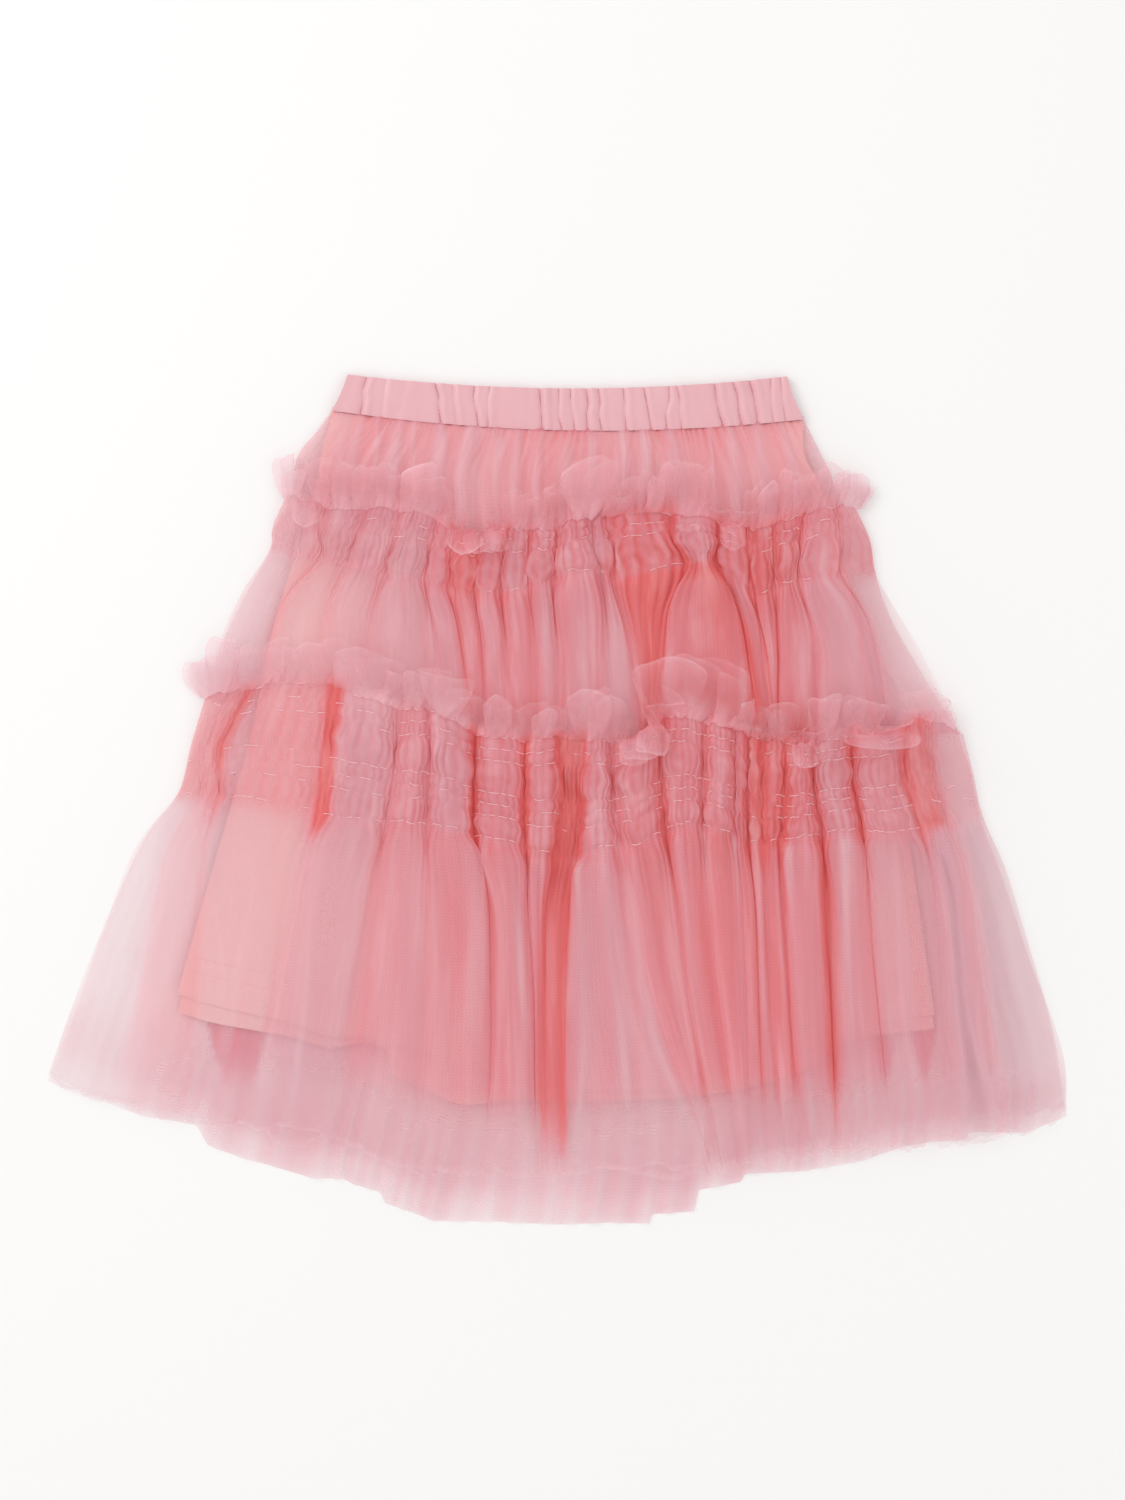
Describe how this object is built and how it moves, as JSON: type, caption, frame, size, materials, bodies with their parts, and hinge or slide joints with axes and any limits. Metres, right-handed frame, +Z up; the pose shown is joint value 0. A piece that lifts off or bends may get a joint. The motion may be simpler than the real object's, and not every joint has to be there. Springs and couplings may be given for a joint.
{
  "type": "tulle skirt",
  "caption": "Tulle skirt laid flat: satin waist casing over a gathered yoke, shirred and ruffled tulle tiers with raw frilled edges, and a smooth satin lining.",
  "frame": {"origin": "centre of the bounding box's base, on the surface that the skirt lies on", "axes": "+X to the skirt's right side as seen from above, +Y towards the waist, +Z up from the surface, front panel uppermost"},
  "size_m": [0.77, 0.6396, 0.0516],
  "materials": {
    "tulle": "matte, sheer net",
    "lining_satin": "soft satin sheen",
    "casing_satin": "soft satin sheen",
    "thread": "soft sewing thread"
  },
  "bodies": {
    "root": {"waistband_front": "casing_satin", "waistband_back": "casing_satin", "yoke_front": "tulle", "yoke_back": "tulle", "tier_1_front": "tulle", "tier_1_back": "tulle", "tier_2_front": "tulle", "tier_2_back": "tulle", "lining_front": "lining_satin", "lining_back": "lining_satin"}
  },
  "joints": []
}
